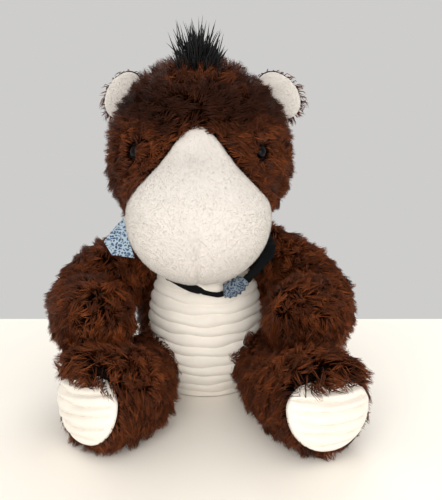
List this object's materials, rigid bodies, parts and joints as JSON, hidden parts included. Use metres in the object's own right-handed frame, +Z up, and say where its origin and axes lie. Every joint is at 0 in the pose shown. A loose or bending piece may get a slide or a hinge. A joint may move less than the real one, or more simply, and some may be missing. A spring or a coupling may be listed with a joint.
{
  "type": "plush horse",
  "caption": "Seated shaggy plush horse with a white muzzle, ribbed belly and soles, yarn mane, neck ribbon and bandana; head, ears, arms, legs and tail move.",
  "frame": {"origin": "middle of the flat base panel that the toy sits on", "axes": "+Z up, the toy faces -Y, its own left side is +X"},
  "size_m": [0.2887, 0.3041, 0.3461],
  "materials": {
    "brown_pile": "long shaggy pile, dark roots, chestnut tips",
    "white_short_pile": "short brushed pile",
    "white_ribbed_cloth": "soft ribbed plush with level tucks",
    "black_yarn": "loose combed yarn",
    "eye_plastic": "polished black",
    "washer_plastic": "plain moulded",
    "fibre_filling": "loose polyester fibre",
    "pellet_bag_cloth": "fine woven bag of beads",
    "black_ribbon": "flat woven ribbon, slight sheen",
    "bandana_cotton": "printed plain-weave cotton, blue and white"
  },
  "bodies": {
    "torso": {"body_skin": "brown_pile", "belly_panel": "white_ribbed_cloth", "seat_panel": "brown_pile", "body_stuffing": "fibre_filling", "pellet_bag": "pellet_bag_cloth", "neck_ribbon": "black_ribbon", "bandana": "bandana_cotton", "bandana_knot": "bandana_cotton"},
    "neck": {"neck_fill": "fibre_filling"},
    "head": {"head_skin": "brown_pile", "muzzle_panel": "white_short_pile", "head_stuffing": "fibre_filling", "eye_left": "eye_plastic", "eye_right": "eye_plastic", "eye_washer_left": "washer_plastic", "eye_washer_right": "washer_plastic", "mane": "black_yarn"},
    "ear_left": {"ear_back_left": "brown_pile", "ear_lining_left": "white_short_pile"},
    "ear_right": {"ear_back_right": "brown_pile", "ear_lining_right": "white_short_pile"},
    "arm_left": {"arm_skin_left": "brown_pile", "arm_stuffing_left": "fibre_filling"},
    "arm_right": {"arm_skin_right": "brown_pile", "arm_stuffing_right": "fibre_filling"},
    "leg_left": {"leg_skin_left": "brown_pile", "leg_stuffing_left": "fibre_filling", "sole_pad_left": "white_ribbed_cloth"},
    "leg_right": {"leg_skin_right": "brown_pile", "leg_stuffing_right": "fibre_filling", "sole_pad_right": "white_ribbed_cloth"},
    "tail": {"tail": "black_yarn"}
  },
  "joints": [
    {"name": "neck_turn", "type": "hinge", "parent": "torso", "child": "neck", "pos_m": [0, -0.005, 0.15], "axis": [0, 0, 1], "range_deg": [-6, 6]},
    {"name": "head_nod", "type": "hinge", "parent": "neck", "child": "head", "pos_m": [0, -0.005, 0.15], "axis": [1, 0, 0], "range_deg": [-10, 4]},
    {"name": "ear_flop_left", "type": "hinge", "parent": "head", "child": "ear_left", "pos_m": [0.05832, 0.008, 0.27728], "axis": [-0.6293, 0, 0.7771], "range_deg": [-15, 15]},
    {"name": "ear_flop_right", "type": "hinge", "parent": "head", "child": "ear_right", "pos_m": [-0.06832, 0.008, 0.27728], "axis": [0.6293, 0, 0.7771], "range_deg": [-15, 15]},
    {"name": "arm_lift_left", "type": "hinge", "parent": "torso", "child": "arm_left", "pos_m": [0.06, -0.005, 0.135], "axis": [1, 0, 0], "range_deg": [-25, 0]},
    {"name": "arm_lift_right", "type": "hinge", "parent": "torso", "child": "arm_right", "pos_m": [-0.06, -0.005, 0.135], "axis": [1, 0, 0], "range_deg": [-25, 0]},
    {"name": "leg_drop_left", "type": "hinge", "parent": "torso", "child": "leg_left", "pos_m": [0.049, -0.036, 0.036], "axis": [1, 0, 0], "range_deg": [0, 20]},
    {"name": "leg_drop_right", "type": "hinge", "parent": "torso", "child": "leg_right", "pos_m": [-0.049, -0.036, 0.036], "axis": [1, 0, 0], "range_deg": [0, 20]},
    {"name": "tail_lift", "type": "hinge", "parent": "torso", "child": "tail", "pos_m": [0, 0.062, 0.034], "axis": [1, 0, 0], "range_deg": [0, 45]}
  ]
}
